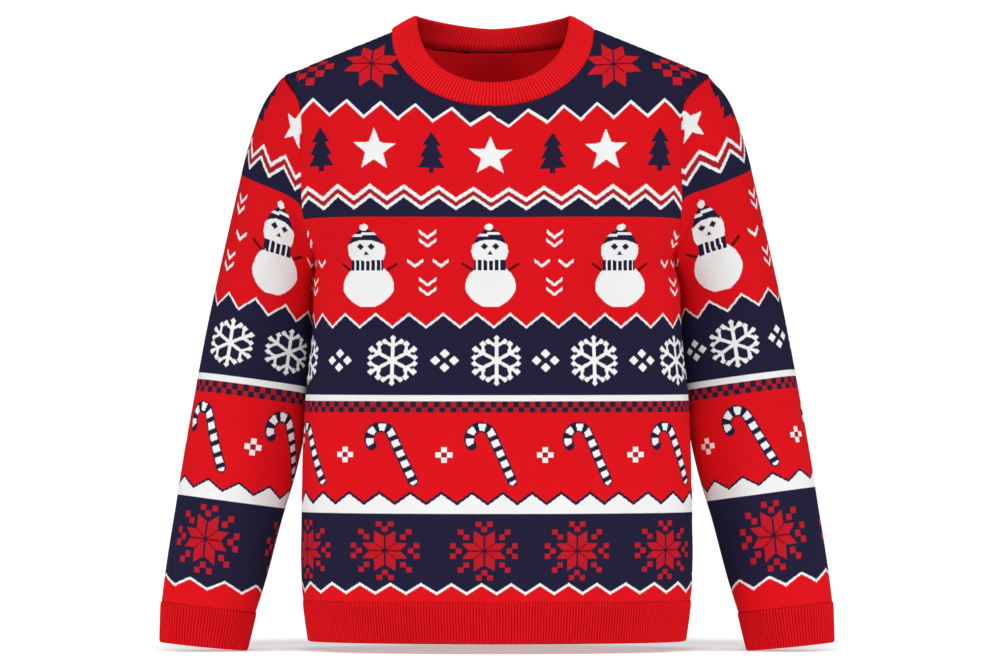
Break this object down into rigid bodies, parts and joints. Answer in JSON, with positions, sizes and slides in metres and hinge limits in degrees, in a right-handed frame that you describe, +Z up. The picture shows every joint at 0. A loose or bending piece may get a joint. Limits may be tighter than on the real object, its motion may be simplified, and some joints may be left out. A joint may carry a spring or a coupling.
{
  "type": "christmas sweater",
  "caption": "Crew-neck Christmas jumper in red, navy and white jacquard knit with ribbed neck, hem and cuffs, in its worn, hollow form.",
  "frame": {"origin": "middle of the neck base: on the centre line, in the plane of the side and shoulder seams, at the height where the shoulder seams reach the neckband", "axes": "+X to the wearer's left, -Y out of the front, +Z up"},
  "size_m": [0.7496, 0.2373, 0.7051],
  "materials": {
    "jacquard_knit": "matt",
    "rib_knit": "matt"
  },
  "bodies": {
    "root": {"front_panel": "jacquard_knit", "back_panel": "jacquard_knit", "left_sleeve": "jacquard_knit", "right_sleeve": "jacquard_knit", "front_hem_rib": "rib_knit", "back_hem_rib": "rib_knit", "left_cuff": "rib_knit", "right_cuff": "rib_knit", "neckband": "rib_knit"}
  },
  "joints": []
}
